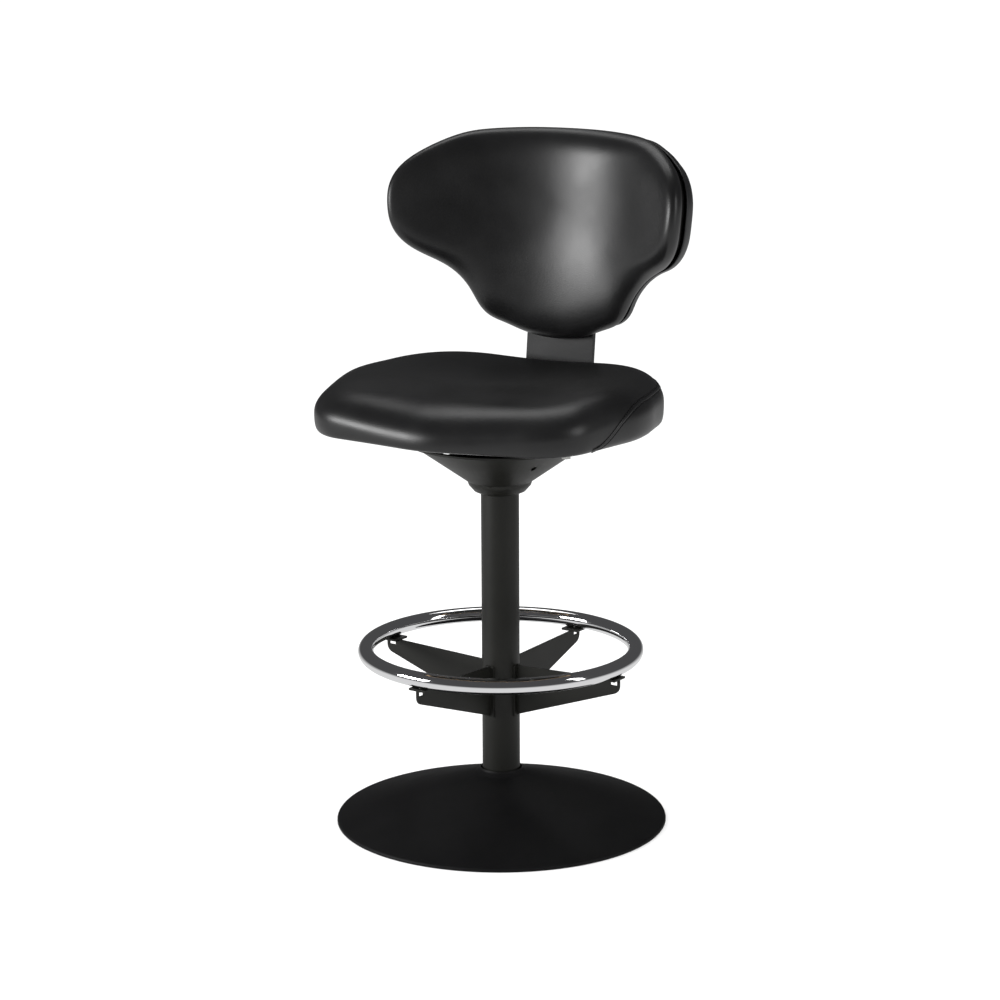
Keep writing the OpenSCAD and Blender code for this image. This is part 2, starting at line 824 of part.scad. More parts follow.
floor_pad();
base_ballast();
base_cover();
hub_flange();
hub_bolts();
stand_tube();
tube_foot();
guide_bush();
lower_race();
bump_stop();
footring();
ring_arm_1();
ring_arm_2();
ring_arm_3();
ring_arm_4();
ring_screws();
piston_rod();
piston();
rod_clip();
upper_race();
bearing_balls();
gas_cylinder();
rod_guide();
release_pin();
carrier_funnel();
taper_socket();
lever_yoke();
lever_pivot();
mount_plate();
bar_bolts();
bar_nuts();
seat_spacers();
seat_bolts();
seat_nuts();
seat_board();
seat_underlay();
seat_cushion();
back_bar();
back_bolts();
back_nuts();
back_board();
back_cushion();
back_shell();
shell_screws();
lift_lever();
lever_grip();
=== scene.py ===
# %% [markdown]
# # A drafting chair, finished piece by piece on its CAD frame
# The chair stands on a weighted disc base, with a footring halfway up its fixed column.
# The seat and back turn together and rise on a gas spring that hides inside the column.
# The frame that this script loads already holds every solid in its true place and size.
# What is left is looks: leather, chrome and powder coats, and the pieces whose plain CAD
# solids are too coarse to show. They are rebuilt here, each in the space of its own solid.

# %% Tools and the frame
import json
import math

import bmesh
import bpy
import numpy as np
from mathutils import Matrix, Vector
from mathutils.bvhtree import BVHTree


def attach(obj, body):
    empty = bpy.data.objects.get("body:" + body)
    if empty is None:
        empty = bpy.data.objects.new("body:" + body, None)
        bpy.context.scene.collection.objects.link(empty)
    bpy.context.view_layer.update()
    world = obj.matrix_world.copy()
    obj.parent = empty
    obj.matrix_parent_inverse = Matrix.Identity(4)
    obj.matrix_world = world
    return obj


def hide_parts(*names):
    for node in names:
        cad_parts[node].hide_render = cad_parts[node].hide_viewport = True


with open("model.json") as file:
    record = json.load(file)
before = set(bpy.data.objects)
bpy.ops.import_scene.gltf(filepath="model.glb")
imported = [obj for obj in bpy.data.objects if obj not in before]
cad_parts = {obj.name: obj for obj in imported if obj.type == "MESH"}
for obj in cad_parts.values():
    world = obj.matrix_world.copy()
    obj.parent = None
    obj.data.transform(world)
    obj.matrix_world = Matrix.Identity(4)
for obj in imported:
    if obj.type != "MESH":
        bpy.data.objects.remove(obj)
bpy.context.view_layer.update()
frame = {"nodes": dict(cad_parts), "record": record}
nodes = frame["nodes"]

# %% [markdown]
# ## Camera
# The camera stands in front of the chair, a little to the sitter's left and above the seat.
# A long lens keeps upright lines almost parallel. The place is
# given as a distance, a turn round the column and a height, because those are the three
# things that can be measured with a tape in a studio.

# %% Camera
camera_distance = 3.8859
camera_turn = math.radians(27.8)
camera_height = 1.3298
camera_pitch = math.radians(12.876)
camera_roll = -0.0051
camera_data = bpy.data.cameras.new("studio_camera")
camera_data.lens = 108.1
camera_data.sensor_width = 36
camera_data.clip_end = 100
camera = bpy.data.objects.new("studio_camera", camera_data)
bpy.context.scene.collection.objects.link(camera)
place = Vector((camera_distance * math.sin(camera_turn),
                -camera_distance * math.cos(camera_turn), camera_height))
camera.matrix_world = (Matrix.Translation(place)
                       @ Matrix.Rotation(camera_turn, 4, "Z")
                       @ Matrix.Rotation(math.pi / 2 - camera_pitch, 4, "X")
                       @ Matrix.Rotation(camera_roll, 4, "Z"))
bpy.context.scene.camera = camera
print("camera at", [round(c, 3) for c in place])

# %% [markdown]
# ## Floor, surround and lights
# Black leather is shown by what it mirrors, so the lights matter more than the colour. The
# studio is a white sweep: a pale floor under an even, bright surround. A uniform white room
# would also turn the leather grey, so the surround is dim where a glossy surface mirrors it.
# Three soft boxes then draw the highlights: a wide one at the left, like a window, one
# high overhead for the seat, and a tall narrow one on the right for the rims.

# %% Surround
world = bpy.data.worlds.new("studio")
bpy.context.scene.world = world
world.use_nodes = True
world.cycles.sampling_method = "NONE"
tree = world.node_tree
tree.nodes.clear()
surround_out = tree.nodes.new("ShaderNodeOutputWorld")
bright = tree.nodes.new("ShaderNodeBackground")
bright.inputs["Color"].default_value = (1, 1, 1, 1)
bright.inputs["Strength"].default_value = 1.12
dim = tree.nodes.new("ShaderNodeBackground")
dim.inputs["Strength"].default_value = 1.0
ways = tree.nodes.new("ShaderNodeTexCoord")
split = tree.nodes.new("ShaderNodeSeparateXYZ")
fade = tree.nodes.new("ShaderNodeValToRGB")
fade.color_ramp.elements[0].position = 0.36
fade.color_ramp.elements[0].color = (0.75, 0.75, 0.75, 1)
fade.color_ramp.elements[1].position = 0.51
fade.color_ramp.elements[1].color = (0.07, 0.07, 0.072, 1)
up = tree.nodes.new("ShaderNodeMapRange")
up.inputs["From Min"].default_value = -1
up.inputs["From Max"].default_value = 1
ray = tree.nodes.new("ShaderNodeLightPath")
choose = tree.nodes.new("ShaderNodeMixShader")
tree.links.new(ways.outputs["Generated"], split.inputs["Vector"])
tree.links.new(split.outputs["Z"], up.inputs["Value"])
tree.links.new(up.outputs["Result"], fade.inputs["Fac"])
tree.links.new(fade.outputs["Color"], dim.inputs["Color"])
tree.links.new(ray.outputs["Is Glossy Ray"], choose.inputs["Fac"])
tree.links.new(bright.outputs["Background"], choose.inputs[1])
tree.links.new(dim.outputs["Background"], choose.inputs[2])
tree.links.new(choose.outputs["Shader"], surround_out.inputs["Surface"])
bpy.context.scene.view_settings.view_transform = "Standard"
print("surround made")


# %% Soft boxes
def soft_box(name, at, aim, width, height, power):
    """A soft area light standing at one point and facing another."""
    data = bpy.data.lights.new(name, "AREA")
    data.shape = "RECTANGLE"
    data.size, data.size_y = width, height
    data.energy = power
    box = bpy.data.objects.new(name, data)
    bpy.context.scene.collection.objects.link(box)
    towards = (Vector(aim) - Vector(at)).normalized()
    box.location = at
    box.rotation_euler = towards.to_track_quat("-Z", "Y").to_euler()
    print(name, "at", at, "power", power)
    return box


soft_box("left_box", (-2.20, -2.15, 1.16), (0, 0, 0.70), 1.55, 0.85, 68)
soft_box("top_box", (-0.5, 0.8, 2.4), (0, 0, 0.6), 1.5, 0.7, 9)
soft_box("right_box", (2.6, 0.1, 1.5), (0, 0, 0.8), 0.35, 1.6, 12)

# %% Floor
floor_half = 30
floor_bm = bmesh.new()
bmesh.ops.create_grid(floor_bm, x_segments=1, y_segments=1, size=floor_half)
floor_mesh = bpy.data.meshes.new("floor")
floor_bm.to_mesh(floor_mesh)
floor_bm.free()
floor = bpy.data.objects.new("floor", floor_mesh)
bpy.context.scene.collection.objects.link(floor)
floor.visible_glossy = False
floor_paint = bpy.data.materials.new("floor_paint")
floor_paint.use_nodes = True
floor_shader = floor_paint.node_tree.nodes["Principled BSDF"]
floor_shader.inputs["Base Color"].default_value = (0.96, 0.96, 0.96, 1)
floor_shader.inputs["Roughness"].default_value = 0.9
floor_shader.inputs["Specular IOR Level"].default_value = 0.0
floor_mesh.materials.append(floor_paint)
print("floor is", 2 * floor_half, "m across")

# %% [markdown]
# ## Finishes
# Every finish is a Principled shader with small procedural changes on top. Real black
# pieces are never one flat black: a powder coat has a fine orange peel, leather has a
# pebbled grain and patches that are a little duller, and chrome carries faint wipe marks.
# The patterns read Object coordinates, which are metres here because every piece sits at
# the origin, so a pattern scale of 900 is a grain about a millimetre across.

# %% Helper for finishes


def finish_base(name, colour, roughness, metallic=0.0, specular=0.5):
    """A new material with a Principled shader, and the coordinates its patterns read."""
    made = bpy.data.materials.new(name)
    made.use_nodes = True
    shader = made.node_tree.nodes["Principled BSDF"]
    shader.inputs["Base Color"].default_value = (*colour, 1)
    shader.inputs["Roughness"].default_value = roughness
    shader.inputs["Metallic"].default_value = metallic
    shader.inputs["Specular IOR Level"].default_value = specular
    place = made.node_tree.nodes.new("ShaderNodeTexCoord")
    return made, shader, place.outputs["Object"]


def noise(made, place, scale, detail=3.0):
    """A cloudy pattern; a larger scale makes smaller clouds."""
    pattern = made.node_tree.nodes.new("ShaderNodeTexNoise")
    pattern.inputs["Scale"].default_value = scale
    pattern.inputs["Detail"].default_value = detail
    made.node_tree.links.new(place, pattern.inputs["Vector"])
    return pattern.outputs["Fac"]


def cells(made, place, scale):
    """A pebbled pattern, as grain leather has."""
    pattern = made.node_tree.nodes.new("ShaderNodeTexVoronoi")
    pattern.feature = "F1"
    pattern.inputs["Scale"].default_value = scale
    made.node_tree.links.new(place, pattern.inputs["Vector"])
    return pattern.outputs["Distance"]


def between(made, pattern, low, high):
    """The pattern's 0 to 1 stretched to run from low to high."""
    span = made.node_tree.nodes.new("ShaderNodeMapRange")
    span.inputs["From Min"].default_value = 0.3
    span.inputs["From Max"].default_value = 0.7
    span.inputs["To Min"].default_value = low
    span.inputs["To Max"].default_value = high
    made.node_tree.links.new(pattern, span.inputs["Value"])
    return span.outputs["Result"]


def bump(made, height, strength, depth, under=None):
    """Turns a pattern into small hills, depth metres high, over another bump if given."""
    hills = made.node_tree.nodes.new("ShaderNodeBump")
    hills.inputs["Strength"].default_value = strength
    hills.inputs["Distance"].default_value = depth
    made.node_tree.links.new(height, hills.inputs["Height"])
    if under is not None:
        made.node_tree.links.new(under, hills.inputs["Normal"])
    return hills.outputs["Normal"]


def two_tones(made, pattern, dark, light):
    """A colour that drifts between two close tones."""
    ramp = made.node_tree.nodes.new("ShaderNodeValToRGB")
    ramp.color_ramp.elements[0].position = 0.3
    ramp.color_ramp.elements[1].position = 0.7
    ramp.color_ramp.elements[0].color = (*dark, 1)
    ramp.color_ramp.elements[1].color = (*light, 1)
    made.node_tree.links.new(pattern, ramp.inputs["Fac"])
    return ramp.outputs["Color"]


print("finish helpers ready")

# %% [markdown]
# ### Leather
# The cover is smooth, corrected-grain leather: a pigmented top with a fine pebble. Its
# gloss is broken by the grain rather than by roughness alone, so the bump carries two
# sizes: the pebble itself and a slow wave where the hide lies over the foam.

# %% Leather
leather, shader, place = finish_base("leather", (0.007, 0.007, 0.0072), 0.36, specular=0.5)
patches = noise(leather, place, 14, 4)
pebble = cells(leather, place, 780)
fine = noise(leather, place, 1900, 2)
links = leather.node_tree.links
links.new(two_tones(leather, patches, (0.0052, 0.0052, 0.0055), (0.0085, 0.0085, 0.0088)),
          shader.inputs["Base Color"])
links.new(between(leather, patches, 0.31, 0.39), shader.inputs["Roughness"])
wave = bump(leather, noise(leather, place, 38, 2), 0.10, 0.0012)
grain = bump(leather, pebble, 0.22, 0.00035, wave)
links.new(bump(leather, fine, 0.10, 0.00015, grain), shader.inputs["Normal"])

# %% Thread and the shadow beside the seam
# A near-black matte finish for the painted shade inside the seam's grooves.
seam_shadow, shader, place = finish_base("seam_shadow", (0.0012, 0.0012, 0.0013), 0.9, specular=0.05)
seam_shadow.node_tree.links.new(bump(seam_shadow, noise(seam_shadow, place, 1800, 2), 0.3, 0.0002),
                                shader.inputs["Normal"])
thread, shader, place = finish_base("thread", (0.010, 0.010, 0.011), 0.5)
thread.node_tree.links.new(bump(thread, noise(thread, place, 2500, 1), 0.3, 0.0002),
                           shader.inputs["Normal"])
print("leather, thread and seam shadow made")

# %% [markdown]
# ### Coats, metal and plastic
# The base and column are powder coated. The base has a fine matte texture and the column
# is a little smoother. The ring is chrome plate: fully metallic, nearly a mirror.


# %% Coats
def powder_coat(name, dark, light, rough, peel, depth, specular=0.35):
    """Powder coat: two close blacks, an orange peel of the given scale and depth."""
    made, coat, where = finish_base(name, light, rough, specular=specular)
    clouds = noise(made, where, 22, 4)
    join = made.node_tree.links
    join.new(two_tones(made, clouds, dark, light), coat.inputs["Base Color"])
    join.new(between(made, clouds, rough - 0.03, rough + 0.04), coat.inputs["Roughness"])
    join.new(bump(made, noise(made, where, peel, 3), 0.25, depth), coat.inputs["Normal"])
    return made


base_coat = powder_coat("base_coat", (0.0036, 0.0036, 0.0040), (0.0052, 0.0052, 0.0056),
                        0.56, 1500, 0.0003, 0.2)
column_coat = powder_coat("column_coat", (0.0058, 0.0059, 0.0042), (0.0080, 0.0081, 0.0060),
                          0.46, 900, 0.0002)
bar_coat = powder_coat("bar_coat", (0.0055, 0.0055, 0.0062), (0.0080, 0.0080, 0.0088),
                       0.45, 900, 0.0002)


def plain_metal(name, colour, rough, scratch, depth=0.0002):
    """Bare or plated metal with a fine lay of marks that breaks its shine."""
    made, metal, where = finish_base(name, colour, rough, metallic=1.0)
    marks = noise(made, where, scratch, 4)
    join = made.node_tree.links
    join.new(between(made, marks, rough * 0.8, rough * 1.3), metal.inputs["Roughness"])
    join.new(bump(made, marks, 0.08, depth), metal.inputs["Normal"])
    return made


chrome = plain_metal("chrome", (0.86, 0.86, 0.87), 0.05, 60, 0.00005)
zinc = plain_metal("zinc", (0.60, 0.60, 0.58), 0.34, 600)
steel = plain_metal("steel", (0.66, 0.66, 0.66), 0.22, 900)
iron = plain_metal("iron", (0.16, 0.16, 0.165), 0.62, 400, 0.0006)


def moulded(name, dark, light, rough, pit):
    """Moulded plastic or rubber: a satin skin with the fine spark texture of its mould."""
    made, skin, where = finish_base(name, light, rough, specular=0.4)
    clouds = noise(made, where, 30, 3)
    join = made.node_tree.links
    join.new(two_tones(made, clouds, dark, light), skin.inputs["Base Color"])
    join.new(between(made, clouds, rough - 0.04, rough + 0.04), skin.inputs["Roughness"])
    join.new(bump(made, cells(made, where, pit), 0.2, 0.0002), skin.inputs["Normal"])
    return made


shell_skin = moulded("shell_skin", (0.009, 0.009, 0.010), (0.013, 0.013, 0.014), 0.42, 1400)
guide_skin = moulded("guide_skin", (0.012, 0.012, 0.012), (0.018, 0.018, 0.018), 0.40, 1600)
rubber = moulded("rubber", (0.016, 0.016, 0.016), (0.026, 0.026, 0.026), 0.78, 900)
print("coats, metals and plastics made")

# %% [markdown]
# ### Plywood and dust cloth
# The seat's board only shows from below. It is moulded beech ply, so its edge and face have
# long, thin grain lines: a cloudy pattern squeezed much more in one direction than another.
# The back's board shows at its edge, behind the cushion, so it is the same ply stained black.
# The dust cloth is black non-woven felt, all fibre and no shine.

# %% Plywood and cloth


def plies(name, dark, light):
    """Thin layers of wood, from the darker tone to the lighter one."""
    wood, shader, place = finish_base(name, light, 0.55)
    stretch = wood.node_tree.nodes.new("ShaderNodeMapping")
    stretch.inputs["Scale"].default_value = (6, 90, 400)
    wood.node_tree.links.new(place, stretch.inputs["Vector"])
    lines = noise(wood, stretch.outputs["Vector"], 1.4, 5)
    wood.node_tree.links.new(two_tones(wood, lines, dark, light), shader.inputs["Base Color"])
    wood.node_tree.links.new(bump(wood, lines, 0.2, 0.0003), shader.inputs["Normal"])
    return wood


plywood = plies("plywood", (0.36, 0.23, 0.12), (0.52, 0.37, 0.21))
stained_ply = plies("stained_ply", (0.0030, 0.0030, 0.0028), (0.0050, 0.0050, 0.0048))
dust_cloth, shader, place = finish_base("dust_cloth", (0.012, 0.012, 0.012), 0.95, specular=0.1)
dust_cloth.node_tree.links.new(bump(dust_cloth, noise(dust_cloth, place, 1600, 6), 0.6, 0.0005),
                               shader.inputs["Normal"])
print("plywood and cloth made")

# %% [markdown]
# ## Making pieces
# Each new piece is modelled in a bmesh, where operators such as spin, extrude and bevel act
# directly on the mesh. One helper then turns the bmesh into an object, gives it its finish,
# lets it ride on the right body of the frame, and hides the plain solid it stands for.

# %% Helper for pieces


def piece(name, bm, finish, body, stands_for):
    """Turns a bmesh into a finished object that rides on one body of the frame."""
    bmesh.ops.recalc_face_normals(bm, faces=bm.faces)
    mesh = bpy.data.meshes.new(name)
    bm.to_mesh(mesh)
    bm.free()
    for face in mesh.polygons:
        face.use_smooth = True
    made = bpy.data.objects.new(name, mesh)
    bpy.context.scene.collection.objects.link(made)
    mesh.materials.append(finish)
    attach(made, body)
    if stands_for:
        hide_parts(*stands_for)
    print(name, len(mesh.polygons), "faces,",
          [round(s * 1000, 1) for s in made.dimensions], "mm")
    return made


def mark_corners(made, degrees):
    """Keeps edges sharper than the given angle crisp, and shades the rest smoothly."""
    made.data.set_sharp_from_angle(angle=math.radians(degrees))


def spun(profile, steps):
    """A closed profile of (radius, height) points carried once round the upright axis."""
    bm = bmesh.new()
    verts = [bm.verts.new((r, 0, z)) for r, z in profile]
    edges = [bm.edges.new(pair) for pair in zip(verts, verts[1:] + verts[:1])]
    bmesh.ops.spin(bm, geom=verts + edges, cent=(0, 0, 0), axis=(0, 0, 1),
                   angle=2 * math.pi, steps=steps, use_merge=True)
    bmesh.ops.remove_doubles(bm, verts=bm.verts, dist=1e-6)
    return bm


def arc(centre, radius, start, end, count=8):
    """Points along an arc, with its angles in degrees."""
    angles = [math.radians(start + (end - start) * i / count) for i in range(count + 1)]
    return [(centre[0] + radius * math.cos(a), centre[1] + radius * math.sin(a))
            for a in angles]


print("piece helpers ready")

# %% [markdown]
# ## The base cover
# The cover is a disc of sheet steel spun over a form: a shallow cone with a small rolled
# rim, drawn up into a short neck round the column. A lathe shape like this is a profile
# and one full spin. Spinning gives it far more steps than the CAD mesh, so its edge is
# round against the pale floor.

# %% Base cover
tube_r = 0.0254
base_r = 0.223
cone_slope = 17.9
cone_fall = math.tan(math.radians(cone_slope))
cone_apex = 0.0763
cover_wall = 0.0015


def cone_level(r):
    """Height of the cover's outer face at a radius."""
    return cone_apex - cone_fall * r


rim_r = 0.004
neck_r = 0.014
neck_top = 0.0725
steep = 90 - cone_slope
slant = math.cos(math.radians(cone_slope))
rim_c = (base_r - rim_r, cone_level(base_r - rim_r) - rim_r / slant)
neck_gap = 0.0016
neck_x = tube_r + neck_gap + neck_r
neck_c = (neck_x, cone_level(neck_x) + neck_r / slant)
neck_a = 180 + math.degrees(math.asin((neck_c[1] - neck_top) / neck_r))
floor_gap = 0.0004
outer = ([(base_r, floor_gap)] + arc(rim_c, rim_r, 0, steep, 8)
         + arc(neck_c, neck_r, 180 + steep, neck_a, 10))
inner = [(neck_c[0] - neck_r + 0.0004, neck_top - 0.0006),
         (neck_x - 0.004, cone_level(neck_x) - 0.0004),
         (rim_c[0], rim_c[1] + rim_r - cover_wall - 0.0008),
         (base_r - cover_wall, rim_c[1]), (base_r - cover_wall, floor_gap)]
cover = piece("base_cover_spun", spun(outer + inner, 200), base_coat, "pedestal",
              ["base_cover"])
mark_corners(cover, 50)

# %% [markdown]
# ## The column
# A plain two-inch tube, coated with the same powder as the arms. Its top edge is deburred,
# which catches a thin line of light under the funnel.

# %% Column tube
tube_wall = 0.002
tube_foot_z = 0.023
tube_top_z = 0.455
ease = 0.0005
column = piece("column_tube", spun([
    (tube_r, tube_foot_z), (tube_r, tube_top_z - ease), (tube_r - ease, tube_top_z),
    (tube_r - tube_wall, tube_top_z), (tube_r - tube_wall, tube_foot_z)], 128),
    column_coat, "pedestal", ["stand_tube"])
mark_corners(column, 40)

# %% [markdown]
# ## The footring
# The ring is round tube bent to a circle, butt-welded, ground and chromed. A circle spun
# round the column makes it. Chrome needs a really smooth surface, since a mirror shows each
# facet, so the section has 40 sides and the ring 220 steps.

# %% Footring
ring_r = 0.181
ring_tube_r = 0.0105
ring_z = 0.237
ring_bm = bmesh.new()
section = bmesh.ops.create_circle(
    ring_bm, segments=40, radius=ring_tube_r,
    matrix=Matrix.Translation((ring_r, 0, ring_z)) @ Matrix.Rotation(math.pi / 2, 4, "X"))
bmesh.ops.spin(ring_bm, geom=section["verts"] + list(ring_bm.edges), cent=(0, 0, 0),
               axis=(0, 0, 1), angle=2 * math.pi, steps=220, use_merge=True)
bmesh.ops.remove_doubles(ring_bm, verts=ring_bm.verts, dist=1e-6)
piece("footring_chromed", ring_bm, chrome, "pedestal", ["footring"])

# %% [markdown]
# ## Plates, bars and small hardware
# The arms, funnel, bar and lever are cut and bent metal whose CAD solids already have the
# right shape. What they lack is the small round that every coated edge has. A copy of the
# solid is welded back into whole faces, and its sharp edges get a fine bevel. The rest of
# the hardware hides inside the chair and only needs its finish.

# %% Eased copies


def eased(node, finish, body, round_r, corner=35):
    """A copy of a CAD solid with its flat faces whole again and its edges eased."""
    bm = bmesh.new()
    bm.from_mesh(nodes[node].data)
    bmesh.ops.remove_doubles(bm, verts=bm.verts, dist=2e-6)
    bmesh.ops.dissolve_limit(bm, angle_limit=math.radians(0.6), verts=bm.verts,
                             edges=bm.edges, use_dissolve_boundaries=False)
    sharp = [e for e in bm.edges if len(e.link_faces) == 2
             and e.calc_face_angle(0) > math.radians(corner)]
    bmesh.ops.bevel(bm, geom=sharp, offset=round_r, offset_type="OFFSET", segments=2,
                    profile=0.5, affect="EDGES", clamp_overlap=True, material=-1)
    made = piece(node + "_eased", bm, finish, body, [node])
    mark_corners(made, 50)
    even = made.modifiers.new("even_shade", "WEIGHTED_NORMAL")
    even.keep_sharp = True
    return made


for arm in ("ring_arm_1", "ring_arm_2", "ring_arm_3", "ring_arm_4"):
    eased(arm, column_coat, "pedestal", 0.0004)
eased("carrier_funnel", column_coat, "seat", 0.0004)
eased("mount_plate", column_coat, "seat", 0.0004)
eased("back_bar", bar_coat, "seat", 0.0009)
eased("lift_lever", bar_coat, "lever", 0.0005)
eased("lever_grip", guide_skin, "lever", 0.0008)
eased("guide_bush", guide_skin, "pedestal", 0.0005)
eased("ring_screws", zinc, "pedestal", 0.0002)
eased("seat_spacers", column_coat, "seat", 0.0004)

# %% Finishes for the hidden hardware
finish_of = {
    "rubber": rubber, "iron": iron, "base_paint": base_coat, "column_paint": column_coat,
    "bar_paint": bar_coat, "zinc": zinc, "bright_steel": steel, "guide_plastic": guide_skin,
    "chrome": chrome, "ply": plywood, "underlay": dust_cloth, "leather": leather,
    "shell_plastic": shell_skin}
slot_of = {s["node"]: s["material_slot"] for s in frame["record"]["subparts"]}
for node in sorted(nodes):
    for spot in nodes[node].material_slots:
        spot.material = finish_of[slot_of[node]]
# The back's board is stained black, as its edge shows behind the cushion.
for spot in nodes["back_board"].material_slots:
    spot.material = stained_ply
print("finished", len(nodes), "nodes;", len(slot_of), "named in the record")

# %% [markdown]
# ### Weld beads
# Each arm's foot strip is welded to the column along its top and bottom ends. The bead is
# a short run of round section, laid round the tube: a small circle spun through the width
# of the strip and capped.

# %% Weld beads
arm_turn = -7.2
arm_root_top = 0.2173
arm_root_low = 0.1493
bead_r = 0.0013
bead_half = 14.5
bead_sink = 0.0006
bead_bm = bmesh.new()
for number in range(4):
    for level in (arm_root_top, arm_root_low):
        first = Matrix.Rotation(math.radians(arm_turn + 90 * number - bead_half), 4, "Z")
        at = first @ Matrix.Translation((tube_r + bead_sink, 0, level))
        made = bmesh.ops.create_circle(bead_bm, cap_ends=True, segments=10, radius=bead_r,
                                       matrix=at @ Matrix.Rotation(math.pi / 2, 4, "X"))
        start = [f for v in made["verts"] for f in v.link_faces]
        edges = list({e for v in made["verts"] for e in v.link_edges})
        bmesh.ops.spin(bead_bm, geom=made["verts"] + edges + list(set(start)),
                       cent=(0, 0, 0), axis=(0, 0, 1),
                       angle=math.radians(2 * bead_half), steps=14)
piece("arm_welds", bead_bm, column_coat, "pedestal", ())

# %% [markdown]
# ## The seat cushion
# The seat is moulded foam on a ply board, with leather pulled over it. It is a saddle: the
# sides and rear rise a little, the middle is hollow, and the front rolls down in a long
# curve. The cover comes from a grid laid over the seat like a cloth: the grid's middle is
# the top, and its outer rows turn down over the edge. Nothing meets in a pole on top, which
# is where a glossy cover would show a pinch.

# %% Seat outline
board_z = 0.548
seat_plan = [(0.082, 0.120, -0.115), (0.159, 0.063, -0.020), (0.127, 0.085, 0.0297),
             (0.150, 0.0, -0.070)]
seat_circles = [(r, side * x, y) for r, x, y in seat_plan for side in (-1, 1)]
seat_middle = (0.0, -0.030)
fan = np.radians(np.arange(0, 360, 0.5))
fan_x, fan_y = np.cos(fan), np.sin(fan)
reach_out = np.max([(x - seat_middle[0]) * fan_x + (y - seat_middle[1]) * fan_y + r
                    for r, x, y in seat_circles], axis=0)


def seat_radius(angle):
    """From the seat's middle to its edge in one direction."""
    facing = fan_x * math.cos(angle) + fan_y * math.sin(angle)
    ahead = facing > 0.05
    return float(np.min(reach_out[ahead] / facing[ahead]))


print("half width", round(seat_radius(0), 4), "front", round(seat_radius(-math.pi / 2), 4),
      "rear", round(seat_radius(math.pi / 2), 4))


# %% [markdown]
# The top's height is a few soft hills added together. The edge roll is a quarter of an
# ellipse, short at the sides and long at the front, so the front falls away under the
# thighs. Below the widest line the cover tucks in towards the board.

# %% Seat shape


def hill(value, centre, width):
    """A smooth hump, one high at its centre."""
    return math.exp(-((value - centre) / width) ** 2)


def ramp(value, start, end):
    """Nought before start, one after end, and smooth between."""
    t = min(1.0, max(0.0, (value - start) / (end - start)))
    return t * t * (3 - 2 * t)


def seat_top(x, y):
    """Height of the seat's top, before its edge rolls down."""
    side = hill(abs(x), 0.150, 0.055) * ramp(y, -0.20, -0.02)
    hollow = hill(x, 0, 0.085) * hill(y, 0.035, 0.085)
    rear = ramp(y, 0.04, 0.135)
    front = ramp(-y, 0.06, 0.215)
    return 0.6122 + 0.0018 * side - 0.0110 * hollow + 0.0005 * rear - 0.0120 * front


widest_up, widest_drop = 0.030, 0.019
lowest_z = board_z - 0.0015
tuck = 0.0105
roll_share = 0.56
side_share = 0.86


def seat_roll(angle):
    """How far in from the edge the top starts to roll down."""
    towards_front = max(0.0, -math.sin(angle))
    towards_rear = max(0.0, math.sin(angle))
    return 0.042 + 0.020 * towards_front ** 2 - 0.012 * towards_rear ** 2


def seat_widest(angle):
    """Height of the widest line, which dips towards the front."""
    return board_z + widest_up - widest_drop * max(0.0, -math.sin(angle)) ** 2


def seat_point(share, angle):
    """A point of the cover: share 0 is the middle of the top, and 1 the bottom edge."""
    edge, roll, widest_z = seat_radius(angle), seat_roll(angle), seat_widest(angle)
    if share <= roll_share:
        out = (edge - roll) * share / roll_share
        drop = 0.0
    elif share <= side_share:
        turn = (share - roll_share) / (side_share - roll_share) * math.pi / 2
        out = edge - roll * (1 - math.sin(turn))
        drop = 1 - math.cos(turn)
    else:
        down = (share - side_share) / (1 - side_share)
        out = edge - tuck * (1 - max(0.0, 1 - down ** 3) ** (1 / 3))
        drop = 1 + down
    x = seat_middle[0] + out * math.cos(angle)
    y = seat_middle[1] + out * math.sin(angle)
    if drop <= 1:
        z = seat_top(x, y) * (1 - drop) + widest_z * drop
    else:
        z = widest_z - (widest_z - lowest_z) * (drop - 1)
    return Vector((x, y, z))


def disc(u, v):
    """Maps a square grid onto a round one, as a share of its radius and an angle."""
    x, y = u * math.sqrt(1 - v * v / 2), v * math.sqrt(1 - u * u / 2)
    return math.hypot(x, y), math.atan2(y, x)


print("seat middle top", [round(c, 4) for c in seat_point(0, 0)])

# %% [markdown]
# ### Making the cover
# The leather is drawn tight over moulded foam and shows no folds, so it is shaped directly
# and finished with a subdivision rather than blown up as loose cloth would be. The rim is
# turned under the board's edge and up into the pocket that the board fills.

# %% Seat cushion
cover_grid = 72
seat_bm = bmesh.new()
bmesh.ops.create_grid(seat_bm, x_segments=cover_grid, y_segments=cover_grid, size=1)
for vert in seat_bm.verts:
    share, angle = disc(vert.co.x, vert.co.y)
    vert.co = seat_point(min(1.0, share), angle)
rim = [e for e in seat_bm.edges if e.is_boundary]
inward, hem_drop = 0.006, 0.0004
fresh = bmesh.ops.extrude_edge_only(seat_bm, edges=rim)["geom"]
for vert in [g for g in fresh if isinstance(g, bmesh.types.BMVert)]:
    away = Vector((vert.co.x - seat_middle[0], vert.co.y - seat_middle[1], 0)).normalized()
    vert.co = vert.co - away * inward
    vert.co.z = lowest_z - hem_drop
pocket_wall = 0.0185
pocket_top = board_z + 0.0128
ceiling = bmesh.ops.create_grid(seat_bm, x_segments=cover_grid, y_segments=cover_grid,
                                size=1)["verts"]
for vert in ceiling:
    share, angle = disc(vert.co.x, vert.co.y)
    out = (seat_radius(angle) - pocket_wall) * min(1.0, share)
    vert.co = (seat_middle[0] + out * math.cos(angle),
               seat_middle[1] + out * math.sin(angle), pocket_top)
rims = [e for e in seat_bm.edges if e.is_boundary]
bmesh.ops.bridge_loops(seat_bm, edges=rims)
seat = piece("seat_leather", seat_bm, leather, "seat", ["seat_cushion"])
smoother = seat.modifiers.new("smoother", "SUBSURF")
